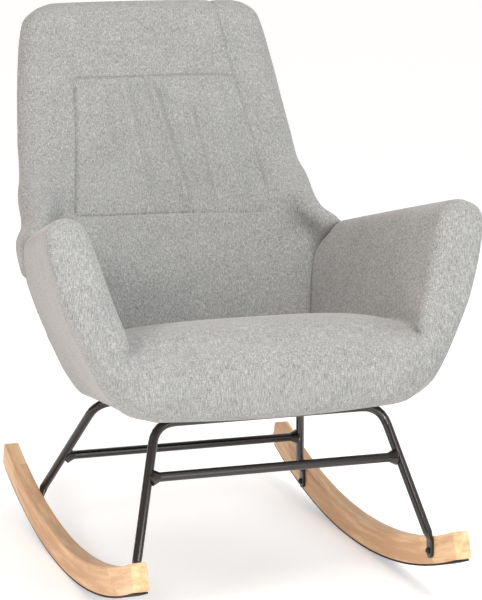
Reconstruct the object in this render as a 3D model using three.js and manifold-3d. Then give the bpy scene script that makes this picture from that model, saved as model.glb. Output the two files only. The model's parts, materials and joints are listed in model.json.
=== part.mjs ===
// Upholstered rocking chair: a padded tub seat on two bent steel leg hoops, bolted to two wooden rockers.
// Millimetres, +Z up. The sitter faces -Y, so +X is the sitter's left. The rockers touch the floor at Y = 0
// while the chair is laid out; the last lines move the origin to the middle of the base.

import * as THREE from "three";
import { mergeVertices } from "three/addons/utils/BufferGeometryUtils.js";
import Module from "manifold-3d";

const wasm = await Module();
wasm.setup();

// ---- driving dimensions -------------------------------------------------------------------------
const { clamp, degToRad, inverseLerp, lerp } = THREE.MathUtils;
const GAP = 0.3; // between touching pieces

const ROCK_RADIUS = 1263; // underside of the grip strips, about the rocking centre
const STRIP = { thick: 2.7, width: 25, front: degToRad(22.3), rear: degToRad(19.9) };
const ROCKER = { depth: 47, width: 28, inner: 264, front: degToRad(22.75), rear: degToRad(20.45) };
const ROCKER_ROUND = { edge: 2.5, corner: 9 }; // along the edges, and at the ends
const ARC_STEPS = 28;

const TUBE_R = 8;
const TAB = { wide: 11, thin: 3, round: 10, flat: 30, neck: 46 }; // flattened leg end, heights above its tip
const HOOP_BEND = 45; // bend radius at the top of each leg
const LEG_X = ROCKER.inner - TUBE_R - GAP;
const FRONT_LEG = { name: "front", side: -1, y: -382, tip: 74, joint: [222, -334, 243] };
const REAR_LEG = { name: "rear", side: 1, y: 251, tip: 33, joint: [232.8, 188, 153] };
const LEGS = [FRONT_LEG, REAR_LEG];
const BOLT_RISE = 13; // rocker bolt above the leg's tip
const WELD = { reach: 12, rise: 6.5 }; // fillet where a stretcher meets a leg

const SEAT = { y: -355, z: 345, tilt: degToRad(7.7) }; // front lower edge, and the slope to the rear
const RAIL = { outer: 180, thick: 22, base: 4, height: 58, front: 36, rear: 512, tail: 540 };
const BLOCK = { size: 64, thick: 25 }; // corner blocks
const PLATE = { thick: 2.8, width: 36, length: 62 };
const LINING = { thick: 1.2, hole: 5 };
const SEAT_BOLT = { x: 126, step: 30 }; // from the middle, and from the cross tube towards mid seat
const WEB = { thick: 2, width: 50, count: 5 };

const BACK = { y: 249, z: 591, recline: degToRad(23.7), thick: 86 }; // a point on the back's front face
const POST = { outer: 157, width: 27, front: 47, thick: 24, foot: -312, top: 345 };
const SLEEVE = { x: 182.5, front: 44, rear: 73, top: 350 }; // hollow of the back cushion, open below
const BACK_WEB = { thick: 2, width: 55, heights: [-95, 70, 235] };

const CLEAR = 1.5; // between the back and the seat's and arms' rear ends

const BOLT = { shank: 3, head: 6, dome: 3.6, socket: 2, depth: 2 };
const INSERT = { outer: 4.7, bore: 3.3, length: 15, hole: 23 };
const TNUT = { flange: 9, thick: 1.6, barrel: 4.4, bore: 3.3, length: 11 };

// ---- materials ----------------------------------------------------------------------------------
const finish = (color, roughness, metalness = 0) =>
  new THREE.MeshStandardMaterial({ color, roughness, metalness });
const MATERIAL = {
  fabric: finish(0xbdc0bf, 0.95),
  beech: finish(0xdcb98a, 0.5),
  steel: finish(0x2b2322, 0.38, 0.7),
  rubber: finish(0x1c1b1b, 0.9),
  zinc: finish(0xb9bcc0, 0.35, 1),
  pine: finish(0xd8c39a, 0.7),
  webbing: finish(0x6b5c4a, 0.9),
  lining: finish(0x202022, 0.95),
};

// ---- solids -------------------------------------------------------------------------------------
const chair = new THREE.Group();
const SIDES = { left: 1, right: -1 };
const vec = (x, y, z) => new THREE.Vector3(x, y, z);

function place(name, geometry, material, parent = chair) {
  const mesh = new THREE.Mesh(geometry, material);
  mesh.name = name;
  parent.add(mesh);
  return mesh;
}

function solid(geometry) {
  const bare = geometry.clone();
  bare.deleteAttribute("normal");
  bare.deleteAttribute("uv");
  const { attributes, index } = mergeVertices(bare, 1e-4);
  const vertProperties = attributes.position.array;
  const triVerts = new Uint32Array(index.array);
  return new wasm.Manifold(new wasm.Mesh({ numProp: 3, vertProperties, triVerts }));
}

function unsolid(manifold) {
  const { vertProperties, triVerts } = manifold.getMesh();
  const geometry = new THREE.BufferGeometry();
  geometry.setAttribute("position", new THREE.BufferAttribute(vertProperties, 3));
  geometry.setIndex(new THREE.BufferAttribute(triVerts, 1));
  geometry.computeVertexNormals();
  return geometry;
}

function cut(geometry, ...tools) {
  return unsolid(tools.reduce((rest, tool) => rest.subtract(solid(tool)), solid(geometry)));
}

// The faces that close a ring of points, seen as a polygon in the two named axes.
function capFaces(ring, axes, offset, forward) {
  const flat = ring.map((p) => new THREE.Vector2(p[axes[0]], p[axes[1]]));
  const along = THREE.ShapeUtils.area(flat) > 0;
  return THREE.ShapeUtils.triangulateShape(flat, []).map(([p, q, r]) => {
    const same = THREE.ShapeUtils.area([flat[p], flat[q], flat[r]]) > 0 === along;
    return (same === forward ? [p, q, r] : [r, q, p]).map((i) => i + offset);
  });
}

// A closed solid through rings of points, all of one count. Its end rings are plain polygons in the axes.
function loft(rings, axes) {
  const count = rings[0].length;
  const faces = capFaces(rings[0], axes, 0, false);
  for (let i = 0; i + 1 < rings.length; i++) {
    for (let j = 0; j < count; j++) {
      const [a, b] = [i * count + j, i * count + ((j + 1) % count)];
      faces.push([a, b, b + count], [a, b + count, a + count]);
    }
  }
  faces.push(...capFaces(rings.at(-1), axes, (rings.length - 1) * count, true));
  const geometry = new THREE.BufferGeometry().setFromPoints(rings.flat());
  geometry.setIndex(faces.flat());
  return outward(geometry);
}

function outward(geometry) {
  const { position } = geometry.attributes;
  const index = geometry.index.array;
  const [a, b, c] = [vec(), vec(), vec()];
  let volume = 0;
  for (let i = 0; i < index.length; i += 3) {
    a.fromBufferAttribute(position, index[i]);
    b.fromBufferAttribute(position, index[i + 1]);
    c.fromBufferAttribute(position, index[i + 2]);
    volume += a.dot(b.cross(c));
  }
  if (volume < 0) {
    for (let i = 0; i < index.length; i += 3) [index[i], index[i + 1]] = [index[i + 1], index[i]];
  }
  geometry.computeVertexNormals();
  return geometry;
}

function box(low, high) {
  const size = high.map((value, i) => value - low[i]);
  const centre = high.map((value, i) => (value + low[i]) / 2);
  return new THREE.BoxGeometry(...size).translate(...centre);
}

// A turned piece along +X from a profile of [distance along the axis, radius] pairs.
function turned(profile, sides = 20) {
  const points = profile.map(([along, radius]) => new THREE.Vector2(radius, along));
  return outward(mergeVertices(new THREE.LatheGeometry(points, sides).rotateZ(-Math.PI / 2), 1e-4));
}

// A round cutter along X through the origin, from one place to another.
const cutter = (radius, from, to) => turned([[from, 0], [from, radius], [to, radius], [to, 0]]);

// Straight-line interpolation in a table of [key, value] pairs with rising keys.
function lookup(table, key) {
  const next = table.findIndex(([k]) => k >= key);
  if (next === 0) return table[0][1];
  if (next < 0) return table.at(-1)[1];
  const [[k0, v0], [k1, v1]] = [table[next - 1], table[next]];
  return lerp(v0, v1, (key - k0) / (k1 - k0));
}

// ---- rockers ------------------------------------------------------------------------------------
// A point on an arc about the rocking centre: angle from straight down, positive to the rear.
const onArc = (radius, angle) => [radius * Math.sin(angle), ROCK_RADIUS - radius * Math.cos(angle)];

// Points along an arc from one angle to another.
function arcPoints(radius, from, to) {
  return Array.from({ length: ARC_STEPS + 1 }, (_, i) => onArc(radius, lerp(from, to, i / ARC_STEPS)));
}

function rockerShape(outer) {
  const { front, rear, depth } = ROCKER;
  const { corner } = ROCKER_ROUND;
  const inner = outer - depth;
  const turn = corner / outer;
  const shape = new THREE.Shape();
  const line = (points) => points.forEach((point) => shape.lineTo(...point));
  shape.moveTo(...onArc(outer, turn - front));
  line(arcPoints(outer, turn - front, rear - turn).slice(1));
  shape.quadraticCurveTo(...onArc(outer, rear), ...onArc(outer - corner, rear));
  shape.lineTo(...onArc(inner + corner, rear));
  shape.quadraticCurveTo(...onArc(inner, rear), ...onArc(inner, rear - turn));
  line(arcPoints(inner, rear - turn, turn - front).slice(1));
  shape.quadraticCurveTo(...onArc(inner, -front), ...onArc(inner + corner, -front));
  shape.lineTo(...onArc(outer - corner, -front));
  shape.quadraticCurveTo(...onArc(outer, -front), ...onArc(outer, turn - front));
  return shape;
}

function stripShape() {
  const { front, rear, thick } = STRIP;
  const band = [...arcPoints(ROCK_RADIUS, -front, rear), ...arcPoints(ROCK_RADIUS - thick, rear, -front)];
  return new THREE.Shape(band.map(([y, z]) => new THREE.Vector2(y, z)));
}

// Extrudes a shape drawn in (y, z) along X between two planes, with an optional rounded edge.
function slab(shape, from, to, edge = 0) {
  const bevel = { bevelEnabled: edge > 0, bevelSize: edge, bevelThickness: edge, bevelOffset: -edge };
  const options = { depth: to - from - 2 * edge, curveSegments: 4, bevelSegments: 2, ...bevel };
  const basis = new THREE.Matrix4().makeBasis(vec(0, 1, 0), vec(0, 0, 1), vec(1, 0, 0));
  return new THREE.ExtrudeGeometry(shape, options).applyMatrix4(basis).translate(from + edge, 0, 0);
}

const boltAt = (leg) => [leg.y, leg.tip + BOLT_RISE];
const drill = (radius, from, to, [y, z]) => cutter(radius, from, to).translate(0, y, z);

function addRocker(side) {
  const x = SIDES[side];
  const far = ROCKER.inner + ROCKER.width;
  const wood = slab(rockerShape(ROCK_RADIUS - STRIP.thick - GAP), ROCKER.inner, far, ROCKER_ROUND.edge);
  const end = ROCKER.inner + INSERT.hole;
  const bores = LEGS.map((leg) => drill(INSERT.outer + GAP, ROCKER.inner - 1, end, boltAt(leg)));
  place(`rocker_${side}`, mirrored(cut(wood, ...bores), x), MATERIAL.beech);

  const middle = (ROCKER.inner + far) / 2;
  const strip = slab(stripShape(), middle - STRIP.width / 2, middle + STRIP.width / 2);
  place(`grip_strip_${side}`, mirrored(strip, x), MATERIAL.rubber);
}

function mirrored(geometry, sign) {
  if (sign > 0) return geometry;
  const flipped = geometry.clone().scale(-1, 1, 1);
  if (!flipped.index) flipped.setIndex([...Array(flipped.attributes.position.count).keys()]);
  return outward(flipped);
}

// ---- fasteners ----------------------------------------------------------------------------------
// Button-head bolt with a hexagon socket: head at the origin, shank along +X.
function bolt(length) {
  const { shank, head, dome, socket, depth } = BOLT;
  const cap = [[-dome, 0], [-dome, head * 0.45], [-dome * 0.6, head * 0.85], [0, head]];
  const body = turned([...cap, [0, shank], [length, shank], [length, 0]]);
  const recess = new THREE.CylinderGeometry(socket, socket, depth * 2, 6).rotateZ(Math.PI / 2);
  return cut(body, recess.translate(-dome, 0, 0));
}

function addRockerBolt(leg, side) {
  const x = SIDES[side];
  const [y, z] = boltAt(leg);
  const head = ROCKER.inner - 2 * GAP - 2 * TAB.thin;
  const screw = bolt(INSERT.length + 2 * TAB.thin - 2).translate(head - GAP, y, z);
  place(`rocker_bolt_${leg.name}_${side}`, mirrored(screw, x), MATERIAL.lining);

  const { outer, bore, length } = INSERT;
  const sleeve = turned([[0, bore], [0, outer], [length, outer], [length, bore], [0, bore]]);
  const insert = mirrored(sleeve.translate(ROCKER.inner + 1, y, z), x);
  place(`rocker_insert_${leg.name}_${side}`, insert, MATERIAL.zinc);
}

// ---- leg hoops and stretchers -------------------------------------------------------------------
// The seat frame lies in a plane that falls to the rear; these turn its coordinates into the chair's.
const seatFrame = new THREE.Group();
seatFrame.position.set(0, SEAT.y, SEAT.z);
seatFrame.rotation.x = -SEAT.tilt;
seatFrame.updateMatrix();

const CROSS_TUBE_Z = -TUBE_R - PLATE.thick - 2 * GAP; // centre of the cross tubes, below the seat's underside
const legStart = (leg) => vec(LEG_X, leg.y, leg.tip + TAB.neck);
const legRise = (leg) => vec(...leg.joint).sub(legStart(leg)).normalize();

// Where the straight leg would meet its cross tube.
function hoopCorner(leg) {
  const toSeat = seatFrame.matrix.clone().invert();
  const start = legStart(leg).applyMatrix4(toSeat);
  const rise = legRise(leg).transformDirection(toSeat);
  return start.addScaledVector(rise, (CROSS_TUBE_Z - start.z) / rise.z);
}

// The leg's bend, from the straight leg round to the cross tube.
function hoopBend(leg) {
  const corner = hoopCorner(leg).applyMatrix4(seatFrame.matrix);
  const [rise, inward] = [legRise(leg), vec(-1, 0, 0)];
  const setback = HOOP_BEND * Math.tan(rise.angleTo(inward) / 2);
  const from = corner.clone().addScaledVector(rise, -setback);
  return new THREE.QuadraticBezierCurve3(from, corner, corner.clone().addScaledVector(inward, setback));
}

// A ring of points about a centre; square under 1 makes it flatter sided than an ellipse.
function ringAbout(centre, along, wide, thin, square = 1, sides = 16) {
  const u = vec(0, 1, 0).addScaledVector(along, -along.y).normalize();
  const v = along.clone().cross(u);
  const shaped = (value) => Math.sign(value) * Math.abs(value) ** square;
  return Array.from({ length: sides }, (_, i) => {
    const angle = (2 * Math.PI * (i + 0.5)) / sides;
    const [a, b] = [wide * shaped(Math.cos(angle)), thin * shaped(Math.sin(angle))];
    return centre.clone().addScaledVector(u, a).addScaledVector(v, b);
  });
}

// Rings of the flattened leg end: a rounded tip, then a flat as high as the bolt needs.
function tabRings(leg) {
  const centre = (height) => vec(ROCKER.inner - GAP - TAB.thin, leg.y, leg.tip + height);
  const ring = (height, wide) => ringAbout(centre(height), vec(0, 0, 1), wide, TAB.thin, 0.5);
  const angles = [20, 45, 68, 90].map(degToRad);
  const tip = angles.map((a) => ring(TAB.round * (1 - Math.cos(a)), TAB.wide * Math.sin(a)));
  return [...tip, ring(TAB.flat, TAB.wide)];
}

function hoop(leg, grow = 0) {
  const radius = TUBE_R + grow;
  const bend = hoopBend(leg);
  const upright = vec(0, 0, 1).lerp(legRise(leg), 0.5).normalize();
  const half = [...tabRings(leg), ringAbout(legStart(leg), upright, radius, radius)];
  const steps = 6;
  for (let i = 0; i <= steps; i++) {
    half.push(ringAbout(bend.getPoint(i / steps), bend.getTangent(i / steps), radius, radius));
  }
  const other = half.map((ring) => ring.map((p) => vec(-p.x, p.y, p.z))).reverse();
  return loft([...half, ...other], ["x", "y"]);
}

function addHoop(leg) {
  const hole = (sign) => drill(BOLT.shank + 0.4, sign * LEG_X - 20, sign * LEG_X + 20, boltAt(leg));
  place(`${leg.name}_leg_hoop`, cut(hoop(leg), hole(1), hole(-1)), MATERIAL.steel);

  const [x, y, z] = leg.joint;
  const { reach, rise } = WELD;
  const start = x - TUBE_R;
  const profile = [[x, 0], [x, TUBE_R - 2], [start + 1, TUBE_R + rise], [start - reach, TUBE_R]];
  const ends = [...profile.map(([a, r]) => [-a, r]), ...profile.toReversed()];
  place(`${leg.name}_stretcher`, cut(turned(ends, 16).translate(0, y, z), hoop(leg, GAP)), MATERIAL.steel);
}

// ---- seat frame: rails, corner blocks, plates, bolts and webbing --------------------------------
const railTop = RAIL.base + RAIL.height;

function addRails() {
  const { outer, thick, base, front, rear, tail } = RAIL;
  const inner = outer - thick;
  for (const [side, x] of Object.entries(SIDES)) {
    const [low, high] = [x * inner, x * outer].sort((a, b) => a - b);
    place(`seat_side_rail_${side}`, box([low, front, base], [high, tail, railTop]), MATERIAL.pine, seatFrame);
  }
  const across = inner - GAP;
  for (const [name, from] of [["front", front], ["rear", rear - thick]]) {
    const rail = box([-across, from, base], [across, from + thick, railTop]);
    place(`seat_${name}_rail`, rail, MATERIAL.pine, seatFrame);
  }
}

// Each leg hoop is held by two plates; a bolt through each plate and its corner block ends in a tee nut.
function addSeatFixings(leg, side) {
  const x = SIDES[side];
  const label = `${leg.name}_${side}`;
  const inner = RAIL.outer - RAIL.thick - GAP;
  const edge = leg.side < 0 ? RAIL.front + RAIL.thick + GAP : RAIL.rear - RAIL.thick - GAP;
  const tubeY = hoopCorner(leg).y;
  const y = tubeY - leg.side * SEAT_BOLT.step;
  const at = (geometry) => geometry.rotateY(-Math.PI / 2).translate(x * SEAT_BOLT.x, y, 0);

  const [back, front] = [edge - leg.side * BLOCK.size, edge].sort((a, b) => a - b);
  const [low, high] = [x * inner, x * (inner - BLOCK.size)].sort((a, b) => a - b);
  const block = box([low, back, RAIL.base], [high, front, RAIL.base + BLOCK.thick]);
  const bore = at(cutter(TNUT.barrel + GAP, 0, 60));
  place(`corner_block_${label}`, cut(block, bore), MATERIAL.pine, seatFrame);

  const plateY = tubeY - leg.side * (PLATE.length / 2 - TUBE_R);
  const [wide, long] = [PLATE.width / 2, PLATE.length / 2];
  const middle = x * SEAT_BOLT.x;
  const plate = box([middle - wide, plateY - long, -GAP - PLATE.thick], [middle + wide, plateY + long, -GAP]);
  const clear = at(cutter(BOLT.shank + 0.4, -20, 20));
  place(`mount_plate_${label}`, cut(plate, clear), MATERIAL.steel, seatFrame);

  const under = -GAP - PLATE.thick - GAP;
  const length = RAIL.base + BLOCK.thick - under + 1;
  place(`seat_bolt_${label}`, at(bolt(length)).translate(0, 0, under), MATERIAL.lining, seatFrame);

  const nut = at(teeNut()).translate(0, 0, RAIL.base + BLOCK.thick + GAP);
  place(`tee_nut_${label}`, nut, MATERIAL.zinc, seatFrame);
}

// Its flange rests at the origin and its barrel hangs along -X.
function teeNut() {
  const { flange, thick, barrel, bore, length } = TNUT;
  const outside = [[-length, barrel], [0, barrel], [0, flange], [thick, flange]];
  return turned([[-length, bore], ...outside, [thick, bore], [-length, bore]]);
}

function addSeatWebbing() {
  const { thick, width, count } = WEB;
  const pitch = (RAIL.rear - RAIL.front) / count;
  const bottom = railTop + GAP;
  for (let i = 0; i < count; i++) {
    const front = RAIL.front + pitch * (i + 0.5) - width / 2;
    const strap = box([-RAIL.outer, front, bottom], [RAIL.outer, front + width, bottom + thick]);
    place(`seat_webbing_${i + 1}`, strap, MATERIAL.webbing, seatFrame);
  }
}

function addDustCover() {
  const top = RAIL.base - GAP;
  const sheet = box([-RAIL.outer, RAIL.front, top - LINING.thick], [RAIL.outer, RAIL.rear, top]);
  const holes = LEGS.flatMap((leg) => Object.values(SIDES).map((x) => {
    const y = hoopCorner(leg).y - leg.side * SEAT_BOLT.step;
    return cutter(LINING.hole, -20, 20).rotateY(-Math.PI / 2).translate(x * SEAT_BOLT.x, y, 0);
  }));
  place("dust_cover", cut(sheet, ...holes), MATERIAL.lining, seatFrame);
}

// ---- back frame ---------------------------------------------------------------------------------
// Its own coordinates: y through the back from the front face, z up the recline.
const backFrame = new THREE.Group();
backFrame.position.set(0, BACK.y, BACK.z);
backFrame.rotation.x = -BACK.recline;
backFrame.updateMatrix();

function addBackFrame() {
  const { outer, width, front, thick, foot, top } = POST;
  const inner = outer - width;
  for (const [side, x] of Object.entries(SIDES)) {
    const [low, high] = [x * inner, x * outer].sort((a, b) => a - b);
    place(`back_post_${side}`, box([low, front, foot], [high, front + thick, top]), MATERIAL.pine, backFrame);
  }
  const across = inner - GAP;
  const rail = (low, high) => box([-across, front, low], [across, front + thick, high]);
  place("back_top_rail", rail(top - 60, top), MATERIAL.pine, backFrame);
  place("back_lower_rail", rail(-200, -140), MATERIAL.pine, backFrame);
  BACK_WEB.heights.forEach((height, i) => {
    const y = front - GAP - BACK_WEB.thick;
    const half = BACK_WEB.width / 2;
    const strap = box([-outer, y, height - half], [outer, front - GAP, height + half]);
    place(`back_webbing_${i + 1}`, strap, MATERIAL.webbing, backFrame);
  });
}

// ---- padding ------------------------------------------------------------------------------------
const FAR = 900; // past the chair in every direction
const SHELF = RAIL.base + RAIL.height + WEB.thick + 2 * GAP; // the seat cushion rests here, in the seat frame
const CUSHION_X = 249.5; // half width of the seat cushion above the shelf
const FRONT_FACE = [[340, -354], [354, -361], [380, -367], [424, -364], [481, -350], [519, -341], [570, -329],
  [624, -318], [680, -304]]; // y of the arms' front faces at each height
const backFace = (z) => BACK.y + (z - BACK.z) * Math.tan(BACK.recline);
const seatBox = (low, high) => box(low, high).applyMatrix4(seatFrame.matrix);

// Half width of the back against the height up its slope.
const BACK_WIDTHS = [[-317, 202], [-293, 216], [-230, 242], [-160, 262], [-112, 273], [-68, 284], [0, 289],
  [40, 286], [63, 283], [126, 274], [187, 267], [257, 260], [304, 254], [346, 247], [381, 239], [405, 229],
  [416, 214], [423, 196]];
const BACK_TOP = 427;
const TOP_ROLL = 40; // height over which the back's top edge rounds over
const ROLL_END = 0.97; // part of that roll drawn before the flat top
const EDGE = { full: 36, tight: 14, below: 20 }; // side edge radius, and the front's where the arms join

function addBackCushion() {
  const heights = BACK_WIDTHS.map(([height]) => height).concat(BACK_TOP);
  const rings = heights.map((height) => {
    const over = Math.min(Math.max(0, 1 - (BACK_TOP - height) / TOP_ROLL), ROLL_END);
    const inset = (BACK.thick / 2) * (1 - Math.sqrt(1 - over ** 2));
    const frontRadius = height < EDGE.below ? EDGE.tight : EDGE.full;
    return roundedRing(lookup(BACK_WIDTHS, height), inset, BACK.thick - inset, height, frontRadius);
  });
  const toBack = backFrame.matrix.clone().invert();
  const { x, front, rear, top } = SLEEVE;
  const sleeve = box([-x, front, -FAR], [x, rear, top]);
  const railZone = solid(box([-x, -FAR, -FAR], [x, front + 1, 0]))
    .intersect(solid(seatBox([-x, 0, -FAR], [x, FAR, SHELF]).applyMatrix4(toBack)));
  const cushion = solid(loft(rings, ["x", "y"])).subtract(solid(sleeve)).subtract(railZone);
  place("back_cushion", unsolid(cushion), MATERIAL.fabric, backFrame);
}

// A rounded rectangle across X at one height: half width, front and rear faces, front corner radius.
function roundedRing(half, front, rear, z, frontRadius) {
  const most = (rear - front) / 2 - 0.5;
  const corners = [[1, 1, 0], [-1, 1, 90], [-1, -1, 180], [1, -1, 270]];
  return corners.flatMap(([sx, sy, turn]) => [0, 30, 60, 90].map((step) => {
    const angle = degToRad(turn + step);
    const radius = Math.min(sy > 0 ? EDGE.full : frontRadius, most);
    const y = sy > 0 ? rear - radius : front + radius;
    return vec(sx * (half - radius) + radius * Math.cos(angle), y + radius * Math.sin(angle), z);
  }));
}

// The arm's section at its front and rear, as [x, z]: up the inside, over the top and down the outside.
const ARM_FRONT = [[170, 347], [170, 440], [242, 455], [245, 468], [255, 500], [267, 530], [284, 580],
  [299, 625], [310, 655], [323, 670], [344, 677], [364, 674], [378, 661], [382, 634], [374, 590],
  [364, 550], [350, 502], [319, 437], [294, 392], [272, 362], [250, 347], [226, 343]];
const ARM_REAR = [[170, 284], [170, 380], [249, 385], [250, 392], [253, 420], [256, 450], [260, 480],
  [265, 507], [270, 530], [276, 546], [283, 552], [291, 549], [296, 540], [297, 525], [295, 505],
  [292, 485], [287, 462], [278, 428], [266, 392], [251, 350], [235, 314], [210, 284]];
const ARM_SIDES = { inner: 3, outer: 16 }; // the points whose middle the rounded front edge draws in towards

// share runs from 0 at the front face to 1 at the back; inset draws the ring in at the rounded front edge.
function armRing(share, inset) {
  const between = (front, rear) => front.map((value, axis) => lerp(value, rear[axis], share));
  const section = ARM_FRONT.map((corner, i) => between(corner, ARM_REAR[i]));
  const outer = section[ARM_SIDES.outer];
  const core = (section[ARM_SIDES.inner][0] + outer[0]) / 2;
  return section.map(([x, z]) => {
    const shift = Math.sign(core - x) * Math.min(inset, Math.abs(core - x));
    const height = z > outer[1] ? z - inset * 0.8 : z;
    return vec(x + shift, lerp(lookup(FRONT_FACE, height), backFace(height) - CLEAR, share), height);
  });
}

const ARM_STATIONS = [[0, 18], [0.008, 9], [0.025, 3], [0.05, 0], [0.2, 0], [0.4, 0], [0.6, 0], [0.8, 0],
  [1, 0]];

function addArms() {
  const full = loft(ARM_STATIONS.map(([share, inset]) => armRing(share, inset)), ["x", "z"]);
  const wide = RAIL.outer + GAP;
  const rails = seatBox([-wide, -FAR, -FAR], [wide, FAR, SHELF]);
  const seat = seatBox([-CUSHION_X, -FAR, SHELF - GAP], [CUSHION_X, FAR, SHELF + 120]);
  const arm = cut(full, rails, seat);
  for (const [side, x] of Object.entries(SIDES)) {
    place(`arm_cushion_${side}`, mirrored(arm, x), MATERIAL.fabric);
  }
}

// The seat cushion's middle section, as [y, z]: from the lower front edge over the crown to the back.
const SEAT_PROFILE = [[-349, 334], [-361, 346], [-368, 375], [-366, 405], [-357, 435], [-343, 455],
  [-322, 469], [-290, 478], [-250, 480], [-200, 472], [-100, 451], [0, 427], [90, 401], [146, 380],
  [98, 274]];
// The crown falls towards the sides by drop, above the height from; the front face gives way by bulge.
const CROWN = { drop: 22, from: 380, full: 440, bulge: 10, front: -350, rear: -250 };

function addSeatCushion() {
  const half = CUSHION_X - GAP;
  const steps = [-1, -0.94, -0.82, -0.6, -0.3, 0, 0.3, 0.6, 0.82, 0.94, 1];
  const rings = steps.map((step) => SEAT_PROFILE.map(([y, z], i) => {
    const over = clamp(inverseLerp(CROWN.from, CROWN.full, z), 0, 1);
    const ahead = clamp(inverseLerp(CROWN.rear, CROWN.front, y), 0, 1);
    const limit = backFace(z) - CLEAR - GAP;
    const depth = Math.min(y + ahead * CROWN.bulge * step ** 2, limit);
    return vec(step * half, depth, z - over * CROWN.drop * step ** 4);
  }));
  const wide = RAIL.outer - GAP;
  const under = seatBox([-FAR, RAIL.front - GAP, -FAR], [FAR, FAR, SHELF]);
  const beside = (from, to) => seatBox([from, -FAR, -FAR], [to, FAR, SHELF]);
  const cushion = cut(loft(rings, ["y", "z"]), under, beside(wide, FAR), beside(-FAR, -wide));
  place("seat_cushion", cushion, MATERIAL.fabric);
}

// ---- assembly -----------------------------------------------------------------------------------
for (const side of Object.keys(SIDES)) {
  addRocker(side);
  for (const leg of LEGS) {
    addRockerBolt(leg, side);
    addSeatFixings(leg, side);
  }
}
LEGS.forEach(addHoop);
addRails();
addSeatWebbing();
addDustCover();
addBackFrame();
addBackCushion();
addArms();
addSeatCushion();
chair.add(seatFrame, backFrame);

// The row's origin is the middle of the base.
const bounds = new THREE.Box3().setFromObject(chair, true);
chair.position.set(0, -(bounds.min.y + bounds.max.y) / 2, -bounds.min.z);

export default chair;
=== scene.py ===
"""Looks of the rocking chair: upholstery, materials, floor, light and camera.

Lengths in the tables are millimetres in the chair's layout frame, where the rockers touch the floor at
Y = 0. The CAD frame is that one moved along Y and Z, so SHIFT turns one into the other.
"""
import json
import math

import bmesh
import bpy
import numpy as np
import openvdb
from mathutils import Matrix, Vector

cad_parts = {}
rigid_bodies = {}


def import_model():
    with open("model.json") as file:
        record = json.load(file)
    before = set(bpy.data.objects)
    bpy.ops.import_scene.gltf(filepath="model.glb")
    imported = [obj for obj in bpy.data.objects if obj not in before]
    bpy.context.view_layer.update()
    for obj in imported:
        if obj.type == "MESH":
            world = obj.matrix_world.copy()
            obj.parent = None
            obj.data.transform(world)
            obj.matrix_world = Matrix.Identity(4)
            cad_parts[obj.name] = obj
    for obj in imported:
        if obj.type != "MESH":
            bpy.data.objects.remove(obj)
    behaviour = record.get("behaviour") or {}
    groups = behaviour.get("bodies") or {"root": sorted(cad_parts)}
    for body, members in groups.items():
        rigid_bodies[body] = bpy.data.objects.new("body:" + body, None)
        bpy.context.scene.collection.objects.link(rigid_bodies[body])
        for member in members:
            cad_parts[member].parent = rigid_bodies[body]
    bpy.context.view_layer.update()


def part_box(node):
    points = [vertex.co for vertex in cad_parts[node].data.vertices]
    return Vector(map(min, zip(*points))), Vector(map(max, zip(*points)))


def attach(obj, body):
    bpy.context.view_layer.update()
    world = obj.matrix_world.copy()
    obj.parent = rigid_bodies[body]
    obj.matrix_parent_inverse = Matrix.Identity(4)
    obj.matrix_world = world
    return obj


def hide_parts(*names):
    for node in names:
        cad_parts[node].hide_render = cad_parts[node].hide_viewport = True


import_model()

# ---- place in the CAD frame -------------------------------------------------------------------------
MM = 0.001
STRETCHER = (-334, 243)  # the front stretcher's centre in the layout frame


def layout_shift():
    low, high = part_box("front_stretcher")
    middle = [(a + b) / 2 / MM for a, b in zip(low, high)]
    return np.array([0.0, middle[1] - STRETCHER[0], middle[2] - STRETCHER[1]])


SHIFT = layout_shift()

# ---- distance fields --------------------------------------------------------------------------------
STEP = 4.8  # size of a grid cell
GAP = 0.6  # between the two upholstered pieces
CURVE_PARTS = 4  # straight parts between two points of an outline


def smoothstep(low, high, value):
    t = np.clip((value - low) / (high - low), 0, 1)
    return t * t * (3 - 2 * t)


def smooth_min(a, b, k):
    h = np.clip(0.5 + 0.5 * (b - a) / k, 0, 1)
    return b * (1 - h) + a * h - k * h * (1 - h)


def smooth_max(a, b, k):
    return -smooth_min(-a, -b, k)


def rounded_and(radius, *distances):
    """Intersection whose edges are rounded."""
    shifted = [d + radius for d in distances]
    outside = np.sqrt(sum(np.maximum(s, 0) ** 2 for s in shifted))
    inside = shifted[0]
    for s in shifted[1:]:
        inside = np.maximum(inside, s)
    return outside + np.minimum(inside, 0) - radius


def table(rows):
    keys, values = np.array(rows, float).T
    return lambda key: np.interp(key, keys, values)


def resample(points):
    """A smooth closed curve through the points."""
    p = np.array(points, float)
    before, after, beyond = np.roll(p, 1, 0), np.roll(p, -1, 0), np.roll(p, -2, 0)
    linear = after - before
    square = 2 * before - 5 * p + 4 * after - beyond
    cube = 3 * p - before - 3 * after + beyond
    shares = np.arange(CURVE_PARTS) / CURVE_PARTS
    rows = [0.5 * (2 * p + linear * t + square * t**2 + cube * t**3) for t in shares]
    return np.stack(rows, 1).reshape(-1, 2)


def polygon_distance(u, v, corners):
    """Signed distance to a closed polygon, whose corners may differ from point to point."""
    best = np.full(np.shape(u), np.inf)
    sign = np.ones(np.shape(u))
    for (au, av), (bu, bv) in zip(corners, corners[-1:] + corners[:-1]):
        eu, ev = bu - au, bv - av
        wu, wv = u - au, v - av
        t = np.clip((wu * eu + wv * ev) / np.maximum(eu * eu + ev * ev, 1e-9), 0, 1)
        best = np.minimum(best, (wu - eu * t) ** 2 + (wv - ev * t) ** 2)
        above, below, beside = v >= av, v < bv, eu * wv > ev * wu
        flips = (above & below & beside) | ~(above | below | beside)
        sign = np.where(flips, -sign, sign)
    return sign * np.sqrt(best)


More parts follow.
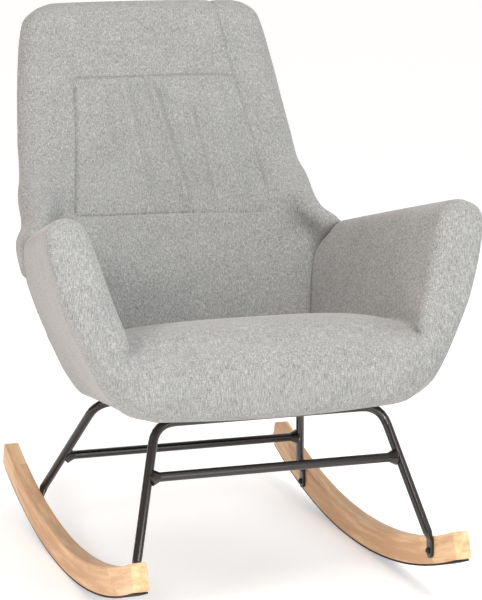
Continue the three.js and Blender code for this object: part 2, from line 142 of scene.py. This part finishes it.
# ---- the back ---------------------------------------------------------------------------------------
BACK = (249, 591)  # a point (y, z) on its front face
RECLINE = math.radians(23.7)
BACK_TOP = 428
BACK_THICK = 87
BACK_ROUND = 36  # along its edges
LOW_ROUND = 10  # along the front edges low down, between the arms
REAR_CROWN = 5  # how much thinner it is at the sides
# Half of its width at each height above BACK.
BACK_WIDTH = table([
    (-330, 198), (-317, 202), (-293, 216), (-230, 242), (-160, 262), (-112, 268), (-68, 275), (-30, 278),
    (0, 279), (20, 278.5), (40, 277.5), (63, 276), (90, 274), (126, 271.5), (160, 270), (187, 267),
    (220, 264), (257, 260), (304, 254), (346, 247.5), (365, 243.5), (381, 239.5), (395, 235), (405, 230),
    (418, 220), (428, 208),
])
# How far the front face falls back at its side edges.
EDGE_FALL = table([(-200, 0), (-60, -6), (20, -6), (90, 4), (160, 14), (230, 20), (330, 20), (428, 10)])
# Side edge that sweeps forward to the arm: x, through, up and radius.
WING = [(249, 20, 48, 22), (254, -8, 8, 22), (266, -30, -22, 18), (280, -50, -46, 14)]
# The y of the line where the arms' own cover begins, by height.
SHOULDER = table([
    (440, 330), (470, 262), (490, 236), (510, 216), (530, 198), (550, 176), (570, 150), (600, 120),
])
SHOULDER_LEAN = 0.72
SHOULDER_DEEP = 34  # how far it reaches past the back's front face
SOFT_WING, SOFT_SHOULDER = 46, 40  # widths of the blends into the back
SEAT = (-355, 345)  # front lower edge (y, z) of the seat
SEAT_TILT = math.radians(7.7)


def to_back(y, z):
    """Distances through the back from its front face, and up along it."""
    c, s = math.cos(RECLINE), math.sin(RECLINE)
    dy, dz = y - BACK[0], z - BACK[1]
    return c * dy - s * dz, s * dy + c * dz


def to_seat(y, z):
    """Distances along the seat from its front, and above its underside."""
    c, s = math.cos(SEAT_TILT), math.sin(SEAT_TILT)
    dy, dz = y - SEAT[0], z - SEAT[1]
    return c * dy - s * dz, s * dy + c * dz


def chain_distance(chain, x, y, z):
    """Distance to a chain of rounded cones."""
    best = np.full(np.shape(x), np.inf)
    for (ax, ay, az, ar), (bx, by, bz, br) in zip(chain, chain[1:]):
        ex, ey, ez = bx - ax, by - ay, bz - az
        wx, wy, wz = x - ax, y - ay, z - az
        t = np.clip((wx * ex + wy * ey + wz * ez) / (ex * ex + ey * ey + ez * ez), 0, 1)
        gap = np.sqrt((wx - ex * t) ** 2 + (wy - ey * t) ** 2 + (wz - ez * t) ** 2)
        best = np.minimum(best, gap - (ar + (br - ar) * t))
    return best


def back_body(x, y, z):
    """The back with its side edges swept forward along a chain of rounded cones."""
    side = np.abs(x)
    through, up = to_back(y, z)
    low_flare = 0.25 * np.maximum(45 - through, 0) * smoothstep(0, -60, up)
    width = BACK_WIDTH(up) + low_flare
    across = np.clip(side / width, 0, 1.1)
    front = EDGE_FALL(up) * across**3
    rear = BACK_THICK - REAR_CROWN * across**2
    _, over_seat = to_seat(y, z)
    low_edge = smoothstep(30, -40, up) * smoothstep(60, 25, through)
    radius = BACK_ROUND - (BACK_ROUND - LOW_ROUND) * low_edge
    slab = np.maximum(front - through, through - rear)
    core = rounded_and(radius, side - width, slab, up - BACK_TOP)
    core = smooth_min(core, chain_distance(WING, side, through, up), SOFT_WING)
    return rounded_and(12, core, -over_seat)


def with_shoulder(back, arm, y, z):
    """Adds the rear top corner of the arms, which is covered together with the back."""
    through, _ = to_back(y, z)
    bounds = np.maximum(SHOULDER_LEAN * (SHOULDER(z) - y), through - SHOULDER_DEEP)
    return smooth_min(back, rounded_and(8, arm, bounds), SOFT_SHOULDER)


def back_shape(x, y, z):
    """Body and shoulders. The arms are only measured near the shoulders, because that is slow."""
    shape = back_body(x, y, z)
    near = (np.abs(x) > 200) & (z > 440) & (z < 650) & (y > 100) & (y < 310)
    if near.any():
        arm = arm_distance(np.abs(x[near]), y[near], z[near])
        shape[near] = with_shoulder(shape[near], arm, y[near], z[near])
    return shape


# Seams on the back's front face, as (x, up) points.
SEAM_TOP = 269
SEAM_SIDE = table([(0, 187), (71, 182), (170, 171), (269, 158), (375, 144), (428, 137)])
SEAM_LEAN = table([(0, 7), (170, 4), (269, 0)])  # how far the right seam stands off to the side


def seam_dips(x, up):
    """Depth of the sewn lines below the padding."""
    left = -SEAM_SIDE(up) + 6 * np.sin(np.clip(up / SEAM_TOP, 0, 1) * math.pi)
    right = SEAM_SIDE(up) + SEAM_LEAN(up)
    inside = smoothstep(-4, 4, x - left) * smoothstep(-4, 4, right - x)
    top = SEAM_TOP + 1.2 * np.sin(x / 60) - 0.016 * (x + 158)
    low = 1.2 * np.cos(x / 45) - 0.026 * (x + 187)
    sewn = smoothstep(-4, 6, up - low)
    fading = 1 - smoothstep(SEAM_TOP - 30, SEAM_TOP, up)
    # Distance to each seam, where it is sewn, and the depths of its crease and of the dent around it.
    rows = [
        (np.abs(up - top), inside, 3.4, 1.0),
        (np.abs(up - low), inside * (1 - 0.5 * smoothstep(-40, 120, x)), 2.8, 1.4),
        (np.abs(x - left), sewn * fading, 5.0, 2.6),
        (np.abs(x - right), sewn, 3.2, 2.4),
    ]
    depth = 0
    for gap, where, crease, dent in rows:
        depth = depth + where * (crease * np.exp(-((gap / 1.9) ** 2)) + dent * np.exp(-((gap / 11) ** 2)))
    return depth


# Folds inside the panel: start and end (x, up), half width and height of each ridge.
FOLDS = [
    ((-16, 266), (32, 4), 8, 8.4),
    ((4, 244), (49, 26), 8, -7.0),
    ((-66, 262), (-44, 20), 8, 4.8),
    ((-48, 258), (-20, 30), 8, -4.0),
    ((54, 236), (80, 6), 8, 5.8),
    ((70, 204), (97, 24), 8, -4.8),
    ((92, 226), (120, 28), 8, 5.6),
    ((116, 176), (146, 16), 8, 4.0),
    ((136, 250), (172, 50), 9, -4.8),
    ((-114, 246), (-98, 48), 9, 3.4),
    ((-90, 232), (-76, 62), 8, -3.0),
]


def fold_relief(x, up):
    height = 0
    for (ax, au), (bx, bu), wide, tall in FOLDS:
        along = (up - au) / (bu - au)
        gap = x - (ax + (bx - ax) * along)
        fade = smoothstep(-0.08, 0.12, along) * (1 - smoothstep(0.85, 1.1, along))
        height = height + tall * fade * np.exp(-((gap / wide) ** 2))
    return height


def back_relief(x, y, z):
    through, up = to_back(y, z)
    facing = 1 - smoothstep(25, 45, through)
    return facing * (fold_relief(x, up) - seam_dips(x, up))


# The hollow for the back's frame, open below: x, front, rear and top.
SLEEVE = (182.5, 44, 73, 350)
# The room for the seat's rails: its top above the seat's underside, half its width, and its front.
SHELF, RAIL_SIDE, RAIL_FRONT = 64.6, 180.3, 35.7


def back_hollow(x, y, z):
    side, front, rear, top = SLEEVE
    through, up = to_back(y, z)
    _, over_seat = to_seat(y, z)
    beside = np.abs(x) - side
    slab = np.maximum(front - through, through - rear)
    slot = np.maximum(beside, np.maximum(slab, up - top))
    rails = np.maximum(np.maximum(beside, through - front - 1), over_seat - SHELF)
    return np.minimum(slot, rails)


# ---- seat and arms ----------------------------------------------------------------------------------
# The y of the arms' front faces at each height.
FRONT_FACE = table([
    (340, -354), (354, -361), (380, -367), (424, -364), (481, -350), (519, -341), (570, -329), (624, -318),
    (680, -304),
])
# Outlines (x, z) of an arm at its front face and where it meets the back.
ARM_FRONT = [
    (170, 347), (170, 440), (242, 455), (245, 468), (255, 500), (267, 530), (284, 580), (299, 625),
    (310, 655), (323, 670), (344, 677), (364, 674), (378, 661), (382, 634), (374, 590), (362, 550),
    (343, 502), (307, 437), (281, 392), (263, 367), (244, 350), (222, 342),
]
ARM_REAR = [
    (170, 284), (170, 380), (238, 385), (240, 392), (245, 420), (250, 450), (256, 480), (263, 507),
    (270, 530), (276, 546), (283, 552), (291, 549), (296, 540), (297, 525), (295, 505), (292, 485),
    (287, 462), (278, 428), (266, 392), (251, 350), (235, 314), (210, 282),
]
# How far the outer side swells just behind the front edge, by height.
SWELL = table([
    (340, 8), (352, 12), (367, 16), (392, 18), (437, 16), (481, 11), (519, 7), (570, 3), (640, 0),
])
# Outline (y, z) of the seat along the chair's middle.
SEAT_PROFILE = [
    (-340, 314), (-356, 330), (-366, 350), (-369, 380), (-367, 408), (-359, 436), (-344, 457), (-322, 470),
    (-290, 479), (-250, 481), (-200, 474), (-100, 452), (0, 428), (90, 402), (190, 372), (190, 250),
    (-100, 250),
]
SEAT_HALF = 262
TUBES = (60, 417)  # where the leg hoops cross under the seat
TUBE_BOW = 2.5  # how far the cover hangs below the seat's underside there
TUB_REAR = 26  # how far the arms reach beside the back, past its front face
ARM_OUTER_ROUND, ARM_INNER_ROUND = 12, 30
ARM_ROWS = (4, 15)  # an inner and an outer point of the outlines, which show where an arm's middle is
arm_front, arm_rear = resample(ARM_FRONT), resample(ARM_REAR)
seat_profile = [tuple(p) for p in resample(SEAT_PROFILE)]


def back_face(z):
    """The y of the back's front face at a height."""
    return BACK[0] + (z - BACK[1]) * math.tan(RECLINE)


def arm_distance(x, y, z):
    front, rear = FRONT_FACE(z), back_face(z)
    share = np.clip((y - front) / (rear - front), 0, 1)
    corners = []
    for (front_x, front_z), (rear_x, rear_z) in zip(arm_front, arm_rear):
        corners.append((front_x + (rear_x - front_x) * share, front_z + (rear_z - front_z) * share))
    swell = SWELL(z) * smoothstep(0, 0.08, share) * (1 - share) * smoothstep(180, 250, x)
    section = polygon_distance(x - swell, z, corners)
    inner, outer = (corners[CURVE_PARTS * row][0] for row in ARM_ROWS)
    middle = 0.5 * (inner + outer) + (z - 468) * 0.33
    radius = ARM_INNER_ROUND + (ARM_OUTER_ROUND - ARM_INNER_ROUND) * smoothstep(-12, 14, x - middle)
    return rounded_and(radius, section, front - y)


def seat_distance(x, y, z):
    out = x / 250
    drop = 22 * np.minimum(out, 1.1) ** 4 * smoothstep(380, 440, z)
    lift = 8 * out**2 * (1 - smoothstep(350, 400, z))
    give = 10 * out**2 * smoothstep(-250, -350, y)
    profile = polygon_distance(y - give, z + drop - lift, seat_profile)
    along, over_seat = to_seat(y, z)
    half = np.minimum(SEAT_HALF, 184 + 0.75 * over_seat + 40 * (1 - np.clip(along / 500, 0, 1)))
    return np.maximum(profile, x - half)


def tub_shape(x, y, z):
    """Seat and arms in one cover, cut where the back stands."""
    side = np.abs(x)
    along, over_seat = to_seat(y, z)
    seat = seat_distance(side, y, z)
    arm = arm_distance(side, y, z)
    soft = 26 - 21 * smoothstep(10, 70, along)
    both = smooth_min(seat, arm, soft)
    bow = 6 + (7 - 9 * np.minimum(side / 240, 1.2) ** 2) * (1 - smoothstep(10, 90, along))
    for tube in TUBES:
        bow = bow - (bow - TUBE_BOW) * (1 - smoothstep(10, 24, np.abs(along - tube)))
    core = rounded_and(12, both, -(over_seat + bow))
    through, _ = to_back(y, z)
    tub = rounded_and(14, core, through - TUB_REAR)
    back = with_shoulder(back_body(x, y, z), arm, y, z)
    return smooth_max(tub, GAP - back, 12)


def tub_hollow(x, y, z):
    """The room for the seat's frame."""
    along, over_seat = to_seat(y, z)
    beside = np.maximum(np.abs(x) - RAIL_SIDE, RAIL_FRONT - along)
    return np.maximum(beside, over_seat - SHELF)


# ---- from a field to a mesh -------------------------------------------------------------------------
CLEAR = 1.5  # points this many grid cells from the hollow belong to the outside


def sampled(field, low, high):
    """Values on a grid that is mirrored in X, and the grid's first point."""
    count = math.ceil(high[0] / STEP)
    xs = np.arange(count + 1) * STEP
    ys = np.arange(low[1], high[1] + STEP, STEP)
    zs = np.arange(low[2], high[2] + STEP, STEP)
    half = field(*np.meshgrid(xs, ys, zs, indexing="ij"))
    whole = np.concatenate([half[:0:-1], half])
    return whole, np.array([-count * STEP, low[1], low[2]])


def contour(values, start):
    """Points and four-sided faces where the field is zero."""
    volume = openvdb.FloatGrid(3 * STEP)
    volume.copyFromArray(np.ascontiguousarray(np.clip(values, -3 * STEP, 3 * STEP), dtype=np.float32))
    points, quads = volume.convertToQuads(0.0)
    return points.astype(float) * STEP + start, quads.astype(int)


def relax(points, quads, rounds):
    """Moves each point towards the middle of its neighbours."""
    edges = np.concatenate([quads[:, [i, (i + 1) % 4]] for i in range(4)])
    edges = np.concatenate([edges, edges[:, ::-1]])
    count = np.bincount(edges[:, 0], minlength=len(points))[:, None]
    for _ in range(rounds):
        sums = [np.bincount(edges[:, 0], points[edges[:, 1], axis], len(points)) for axis in range(3)]
        points = 0.4 * points + 0.6 * np.stack(sums, 1) / np.maximum(count, 1)
    return points


def settle(points, field, rounds=3, reach=3.0):
    """Moves points onto the field's surface."""
    for _ in range(rounds):
        slope = gradient(points, field)
        steep = np.maximum((slope**2).sum(1), 0.2)
        points = points - slope * np.clip(field(*points.T) / steep, -reach, reach)[:, None]
    return points


def gradient(points, field, probe=0.6):
    slope = [field(*(points + d).T) - field(*(points - d).T) for d in np.eye(3) * probe]
    return np.stack(slope, 1) / (2 * probe)


def raised(points, field, relief):
    """Moves points along the field's normal by the height of the relief."""
    normal = gradient(points, field)
    normal /= np.maximum(np.linalg.norm(normal, axis=1), 0.2)[:, None]
    return points + normal * relief(*points.T)[:, None]


def new_mesh(name, points, quads):
    mesh = bpy.data.meshes.new(name)
    mesh.vertices.add(len(points))
    mesh.loops.add(quads.size)
    mesh.polygons.add(len(quads))
    mesh.vertices.foreach_set("co", (points * MM).ravel())
    mesh.loops.foreach_set("vertex_index", quads.ravel())
    mesh.polygons.foreach_set("loop_start", np.arange(0, quads.size, 4))
    mesh.update(calc_edges=True)
    return mesh


def upholstered(name, field, hollow, low, high, near=None, relief=None):
    """A piece in the shape of the field less the hollow.

    The faces that near picks are split, and then the relief is added.
    """
    values, start = sampled(lambda x, y, z: np.maximum(field(x, y, z), -hollow(x, y, z)), low, high)
    points, quads = contour(values, start)
    eased = settle(relax(points, quads, 3), field)
    points = np.where((hollow(*points.T) > CLEAR * STEP)[:, None], eased, points)
    if signed_volume(points, quads) < 0:
        quads = quads[:, ::-1]
    mesh = new_mesh(name, points, quads)
    if near:
        split_faces(mesh, near)
    points = mesh_points(mesh)
    outer = hollow(*points.T) > CLEAR * STEP
    points[outer] = settle(points[outer], field, 2)
    if relief:
        points[outer] = raised(points[outer], field, relief)
    mesh.vertices.foreach_set("co", ((points + SHIFT) * MM).ravel())
    mesh.update()
    mesh.shade_smooth()
    piece = bpy.data.objects.new(name, mesh)
    bpy.context.scene.collection.objects.link(piece)
    return piece


def mesh_points(mesh):
    """The mesh's points in millimetres."""
    points = np.empty(len(mesh.vertices) * 3)
    mesh.vertices.foreach_get("co", points)
    return points.reshape(-1, 3) / MM


def signed_volume(points, quads):
    """Six times the volume; negative when the faces point inwards."""
    a, b, c, d = (points[quads[:, i]] for i in range(4))
    return (np.cross(b - a, c - a) * a).sum() + (np.cross(c - a, d - a) * a).sum()


def split_faces(mesh, near, cuts=2):
    """Splits the faces beside the seams."""
    work = bmesh.new()
    work.from_mesh(mesh)
    wanted = near(*mesh_points(mesh).T)
    faces = [f for f in work.faces if any(wanted[v.index] for v in f.verts)]
    edges = list({e for f in faces for e in f.edges})
    bmesh.ops.subdivide_edges(work, edges=edges, cuts=cuts, use_grid_fill=True)
    work.to_mesh(mesh)
    work.free()


def near_seam(x, y, z):
    through, up = to_back(y, z)
    half = SEAM_SIDE(up)
    side = (np.abs(np.abs(x) - half - 2) < 8) & (up > -6)
    across = ((np.abs(up - SEAM_TOP + 3) < 7) | (np.abs(up + 5) < 8)) & (np.abs(x) < half + 6)
    return (side | across) & (through < 30)


# Lowest and highest corner of the grid that each piece is measured on.
BACK_GRID = ((0, 60, 240), (336, 560, 1010))
TUB_GRID = ((0, -400, 240), (396, 290, 700))


def add_upholstery():
    back = upholstered("back_upholstery", back_shape, back_hollow, *BACK_GRID, near_seam, back_relief)
    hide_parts("back_cushion")
    tub = upholstered("tub_upholstery", tub_shape, tub_hollow, *TUB_GRID)
    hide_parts("seat_cushion", "arm_cushion_left", "arm_cushion_right")
    for piece in (back, tub):
        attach(piece, "root")
        piece.data.materials.append(fabric())


# ---- materials --------------------------------------------------------------------------------------
def new_material(name, **constants):
    material = bpy.data.materials.new(name)
    material.use_nodes = True
    tree = material.node_tree
    shader = tree.nodes["Principled BSDF"]
    for socket, value in constants.items():
        shader.inputs[socket.replace("_", " ")].default_value = value
    return material, tree, shader


def add(tree, kind, inputs, **settings):
    """Adds a node whose inputs are values or other nodes' sockets."""
    node = tree.nodes.new("ShaderNode" + kind)
    for key, value in settings.items():
        setattr(node, key, value)
    for key, value in inputs.items():
        if isinstance(value, bpy.types.NodeSocket):
            tree.links.new(value, node.inputs[key])
        else:
            node.inputs[key].default_value = value
    return node


def maths(tree, operation, *values):
    node = add(tree, "Math", dict(enumerate(values)), operation=operation)
    return node.outputs[0]


def weighted(tree, first, *others):
    """The sum of values that are each given with a weight."""
    total = maths(tree, "MULTIPLY", *first)
    for value, weight in others:
        total = maths(tree, "ADD", total, maths(tree, "MULTIPLY", value, weight))
    return total


def object_place(tree):
    return add(tree, "TexCoord", {}).outputs["Object"]


def noise(tree, place, grain, detail=2.0, rough=0.5):
    """Noise whose grains measure `grain` millimetres along each axis."""
    scale = [1 / (g * MM) for g in grain]
    mapped = add(tree, "Mapping", {"Vector": place, "Scale": scale}).outputs[0]
    texture = add(tree, "TexNoise", {"Vector": mapped, "Scale": 1.0, "Detail": detail, "Roughness": rough})
    return texture.outputs[0]


def ramp(tree, value, *stops):
    """A colour for each value; stops are (value, (r, g, b))."""
    node = add(tree, "ValToRGB", {"Fac": value})
    elements = node.color_ramp.elements
    while len(elements) < len(stops):
        elements.new(0.5)
    for element, (where, colour) in zip(elements, stops):
        element.position = where
        element.color = (*colour, 1)
    return node.outputs["Color"]


def scaled(tree, value, low, high, out_low, out_high):
    limits = {"From Min": low, "From Max": high, "To Min": out_low, "To Max": out_high}
    return add(tree, "MapRange", {"Value": value, **limits}).outputs[0]


def blend(tree, share, a, b, how="MIX"):
    node = add(tree, "MixRGB", {"Fac": share, "Color1": a, "Color2": b}, blend_type=how)
    return node.outputs["Color"]


def bumped(tree, shader, height, strength, distance):
    bump = add(tree, "Bump", {"Height": height, "Strength": strength, "Distance": distance * MM})
    tree.links.new(bump.outputs[0], shader.inputs["Normal"])


def dye(tree, shader, colour):
    tree.links.new(colour, shader.inputs["Base Color"])


FABRIC_DARK = (0.143, 0.148, 0.147)
FABRIC_MIDDLE = (0.288, 0.294, 0.290)
FABRIC_LIGHT = (0.478, 0.482, 0.472)
# Size of the threads along X, Y and Z, on upright faces and on level ones.
UPRIGHT_WARP, UPRIGHT_WEFT = (1.1, 2.6, 11), (5, 9, 1.0)
LEVEL_WARP, LEVEL_WEFT = (0.9, 9, 30), (9, 0.9, 30)
FLECKS, CLOUDS = (1.5, 1.5, 1.8), (60, 60, 60)
# How much each counts in the cloth's tone.
WARP_WEIGHT, WEFT_WEIGHT, FLECK_WEIGHT, CLOUD_WEIGHT = 0.44, 0.26, 0.24, 0.06


def fabric():
    """Heathered cloth: threads of uneven tone crossing each other."""
    finish = {"Roughness": 0.95, "Specular_IOR_Level": 0.15}
    sheen = {"Sheen_Weight": 0.25, "Sheen_Roughness": 0.5, "Sheen_Tint": (1.0, 0.93, 0.9, 1)}
    material, tree, shader = new_material("heathered fabric", **finish, **sheen)
    place = object_place(tree)
    normal = add(tree, "NewGeometry", {}).outputs["Normal"]
    turned = add(tree, "SeparateXYZ", {"Vector": normal})
    level = scaled(tree, maths(tree, "ABSOLUTE", turned.outputs["Z"]), 0.6, 0.8, 0.0, 1.0)
    sizes = (UPRIGHT_WARP, UPRIGHT_WEFT, LEVEL_WARP, LEVEL_WEFT)
    threads = [noise(tree, place, size, 2.0, 0.6) for size in sizes]
    warp = blend(tree, level, threads[0], threads[2])
    weft = blend(tree, level, threads[1], threads[3])
    flecks = noise(tree, place, FLECKS, 2.0, 0.6)
    clouds = noise(tree, place, CLOUDS, 2.0)
    parts = [(warp, WARP_WEIGHT), (weft, WEFT_WEIGHT), (flecks, FLECK_WEIGHT), (clouds, CLOUD_WEIGHT)]
    tone = weighted(tree, *parts)
    dye(tree, shader, ramp(tree, tone, (0.36, FABRIC_DARK), (0.5, FABRIC_MIDDLE), (0.64, FABRIC_LIGHT)))
    bumped(tree, shader, tone, 0.5, 1.2)
    return material


ROCKER_CENTRE = (0.0, 1263.0)  # the y and z that the rockers are bent around
BEECH = {
    "deep": (0.60, 0.34, 0.175),
    "middle": (0.735, 0.47, 0.255),
    "pale": (0.83, 0.58, 0.335),
    "fleck": (0.42, 0.20, 0.08),
}
GLUE_JOINTS = (-0.325, 0.235)  # angles about the rocking centre
JOINT_SLANT = 1.1
# Size of the grain along the arc, outwards and across.
BANDS, FIBRES, PORES = (150, 12, 16), (26, 0.9, 0.9), (5, 0.8, 0.8)
BAND_WEIGHT, FIBRE_WEIGHT = 0.6, 0.4
# Tone of every other glued piece, and how far the grain jumps from one piece to the next.
PIECE_TONE, PIECE_STEP = -0.09, 0.37


def beech():
    """Wood glued up from pieces, with its grain along the bend."""
    material, tree, shader = new_material("oiled beech", Roughness=0.5, Specular_IOR_Level=0.35)
    parts = add(tree, "SeparateXYZ", {"Vector": object_place(tree)})
    y = maths(tree, "SUBTRACT", parts.outputs["Y"], (ROCKER_CENTRE[0] + SHIFT[1]) * MM)
    z = maths(tree, "SUBTRACT", (ROCKER_CENTRE[1] + SHIFT[2]) * MM, parts.outputs["Z"])
    angle = maths(tree, "ARCTAN2", y, z)
    radius = maths(tree, "SQRT", weighted(tree, (y, y), (z, z)))
    slanted = maths(tree, "ADD", angle, maths(tree, "MULTIPLY", radius, JOINT_SLANT))
    pieces = 0.0
    for joint in GLUE_JOINTS:
        edge = joint + JOINT_SLANT * ROCKER_CENTRE[1] * MM
        pieces = maths(tree, "ADD", pieces, maths(tree, "GREATER_THAN", slanted, edge))
    along = maths(tree, "ADD", maths(tree, "MULTIPLY", angle, ROCKER_CENTRE[1] * MM), pieces)
    out = maths(tree, "ADD", radius, maths(tree, "MULTIPLY", pieces, PIECE_STEP))
    grain = add(tree, "CombineXYZ", {"X": along, "Y": out, "Z": parts.outputs["X"]}).outputs[0]
    bands = noise(tree, grain, BANDS, 2.0, 0.5)
    fibres = noise(tree, grain, FIBRES, 3.0, 0.6)
    pores = noise(tree, grain, PORES, 1.0, 0.4)
    every_other = maths(tree, "PINGPONG", pieces, 1.0)
    tone = weighted(tree, (bands, BAND_WEIGHT), (fibres, FIBRE_WEIGHT), (every_other, PIECE_TONE))
    colour = ramp(tree, tone, (0.37, BEECH["deep"]), (0.48, BEECH["middle"]), (0.6, BEECH["pale"]))
    speck = scaled(tree, pores, 0.70, 0.78, 0.0, 0.4)
    dye(tree, shader, blend(tree, speck, colour, (*BEECH["fleck"], 1)))
    bumped(tree, shader, fibres, 0.15, 0.3)
    return material


def mottled(name, dark, light, grain, rough, metallic=0.0, specular=0.5, relief=0.2):
    """A plain stuff whose tone and roughness vary a little over `grain` millimetres."""
    material, tree, shader = new_material(name, Metallic=metallic, Specular_IOR_Level=specular)
    value = noise(tree, object_place(tree), grain, 4.0, 0.6)
    dye(tree, shader, ramp(tree, value, (0.3, dark), (0.7, light)))
    tree.links.new(scaled(tree, value, 0.3, 0.7, *rough), shader.inputs["Roughness"])
    bumped(tree, shader, value, relief, 0.3)
    return material


# Ends of the names that dress() passes over: the new pieces, and the nodes that they replace.
UPHOLSTERED = ("_upholstery", "_cushion", "_cushion_left", "_cushion_right")


def hard_materials():
    """The material for each word in a CAD node's name. The first word that is found counts."""
    steel = mottled("black powder coat", (0.008, 0.006, 0.0055), (0.014, 0.010, 0.009), (1.5, 1.5, 1.5),
                    (0.16, 0.24), specular=0.6, relief=0.04)
    bolt = mottled("black oxide", (0.012, 0.012, 0.013), (0.03, 0.03, 0.032), (2, 2, 2), (0.3, 0.45),
                   metallic=0.6)
    zinc = mottled("zinc plating", (0.42, 0.43, 0.44), (0.62, 0.62, 0.6), (4, 4, 4), (0.3, 0.5),
                   metallic=1.0)
    rubber = mottled("black rubber", (0.008, 0.008, 0.008), (0.02, 0.02, 0.02), (1, 1, 1), (0.8, 0.95))
    pine = mottled("pine", (0.52, 0.33, 0.16), (0.74, 0.55, 0.33), (6, 60, 6), (0.6, 0.75))
    webbing = mottled("webbing", (0.02, 0.018, 0.016), (0.09, 0.08, 0.07), (2, 2, 2), (0.85, 0.95))
    lining = mottled("black lining", (0.01, 0.01, 0.01), (0.03, 0.03, 0.03), (1, 1, 1), (0.9, 1.0))
    return {
        "rocker_bolt": bolt, "seat_bolt": bolt, "rocker_insert": zinc, "tee_nut": zinc, "rocker_": beech(),
        "grip_strip": rubber, "leg_hoop": steel, "stretcher": steel, "mount_plate": steel,
        "corner_block": pine, "_rail": pine, "back_post": pine, "webbing": webbing, "dust_cover": lining,
    }


def dress():
    """Gives every hard CAD node its material."""
    materials = hard_materials()
    for thing in bpy.data.objects:
        if thing.type != "MESH" or thing.name.endswith(UPHOLSTERED):
            continue
        material = next(stuff for word, stuff in materials.items() if word in thing.name)
        for slot in thing.material_slots:
            slot.material = material


# ---- floor, light and camera ------------------------------------------------------------------------
CAMERA = (-1267, -3929, 1254)
AZIMUTH, ELEVATION = math.radians(-18.54), math.radians(10.80)
LENS = 141.4
FLOOR_HALF = 30  # metres
WARM_WALL = (0.36, 0.25, 0.20)  # the studio's left side
DIM_HALL = (0.55, 0.56, 0.56)  # behind the camera
# Area lights: name, place and target in metres, size, power and colour.
LIGHTS = [
    ("key", (-2.5, -2.0, 1.7), (0, 0, 0.6), 1.0, 50, (1.0, 0.985, 0.97)),
    ("fill", (0.4, -3.4, 1.0), (0, 0, 0.45), 1.4, 16, (1, 1, 1)),
    ("overhead", (0.3, -1.2, 2.5), (0, -0.3, 0.3), 0.9, 28, (1.0, 0.97, 0.95)),
    ("front strip", (0.6, -3.2, 1.2), (0, -0.3, 0.3), 0.3, 6, (1, 1, 1)),
]


def add_camera():
    data = bpy.data.cameras.new("camera")
    data.lens = LENS
    camera = bpy.data.objects.new("camera", data)
    camera.location = Vector((np.array(CAMERA) + SHIFT) * MM)
    back = Vector((
        math.sin(AZIMUTH) * math.cos(ELEVATION),
        -math.cos(AZIMUTH) * math.cos(ELEVATION),
        math.sin(ELEVATION),
    ))
    camera.rotation_mode = "QUATERNION"
    camera.rotation_quaternion = (-back).to_track_quat("-Z", "Y")
    data.clip_start, data.clip_end = 0.1, 100
    bpy.context.scene.collection.objects.link(camera)
    bpy.context.scene.camera = camera


def area_light(name, place, target, size, power, colour):
    data = bpy.data.lights.new(name, "AREA")
    data.size = size
    data.energy = power
    data.color = colour
    lamp = bpy.data.objects.new(name, data)
    lamp.location = place
    lamp.rotation_mode = "QUATERNION"
    lamp.rotation_quaternion = (Vector(target) - Vector(place)).to_track_quat("-Z", "Y")
    bpy.context.scene.collection.objects.link(lamp)


def add_floor():
    corners = [(x * FLOOR_HALF, y * FLOOR_HALF, 0) for x, y in ((-1, -1), (1, -1), (1, 1), (-1, 1))]
    mesh = bpy.data.meshes.new("floor")
    mesh.from_pydata(corners, [], [(0, 1, 2, 3)])
    material, _, shader = new_material("pale floor", Roughness=0.9, Specular_IOR_Level=0.1)
    shader.inputs["Base Color"].default_value = (0.93, 0.93, 0.93, 1)
    shader.inputs["Emission Color"].default_value = (1, 1, 1, 1)
    shader.inputs["Emission Strength"].default_value = 0.3
    mesh.materials.append(material)
    floor = bpy.data.objects.new("floor", mesh)
    bpy.context.scene.collection.objects.link(floor)


def add_world():
    """White all around, but for a warm wall on the left and a dim hall in front."""
    world = bpy.data.worlds.new("studio")
    world.use_nodes = True
    tree = world.node_tree
    background = tree.nodes["Background"]
    ways = add(tree, "SeparateXYZ", {"Vector": add(tree, "TexCoord", {}).outputs["Generated"]})
    left = scaled(tree, ways.outputs["X"], -0.15, -0.75, 0.0, 1.0)
    front = scaled(tree, ways.outputs["Y"], -0.05, -0.7, 0.0, 1.0)
    backdrop = blend(tree, front, (1, 1, 1, 1), (*DIM_HALL, 1))
    tree.links.new(blend(tree, left, backdrop, (*WARM_WALL, 1)), background.inputs["Color"])
    background.inputs["Strength"].default_value = 1.0
    bpy.context.scene.world = world
    bpy.context.scene.view_settings.view_transform = "Standard"


add_camera()
add_upholstery()
dress()
add_floor()
add_world()
for light in LIGHTS:
    area_light(*light)
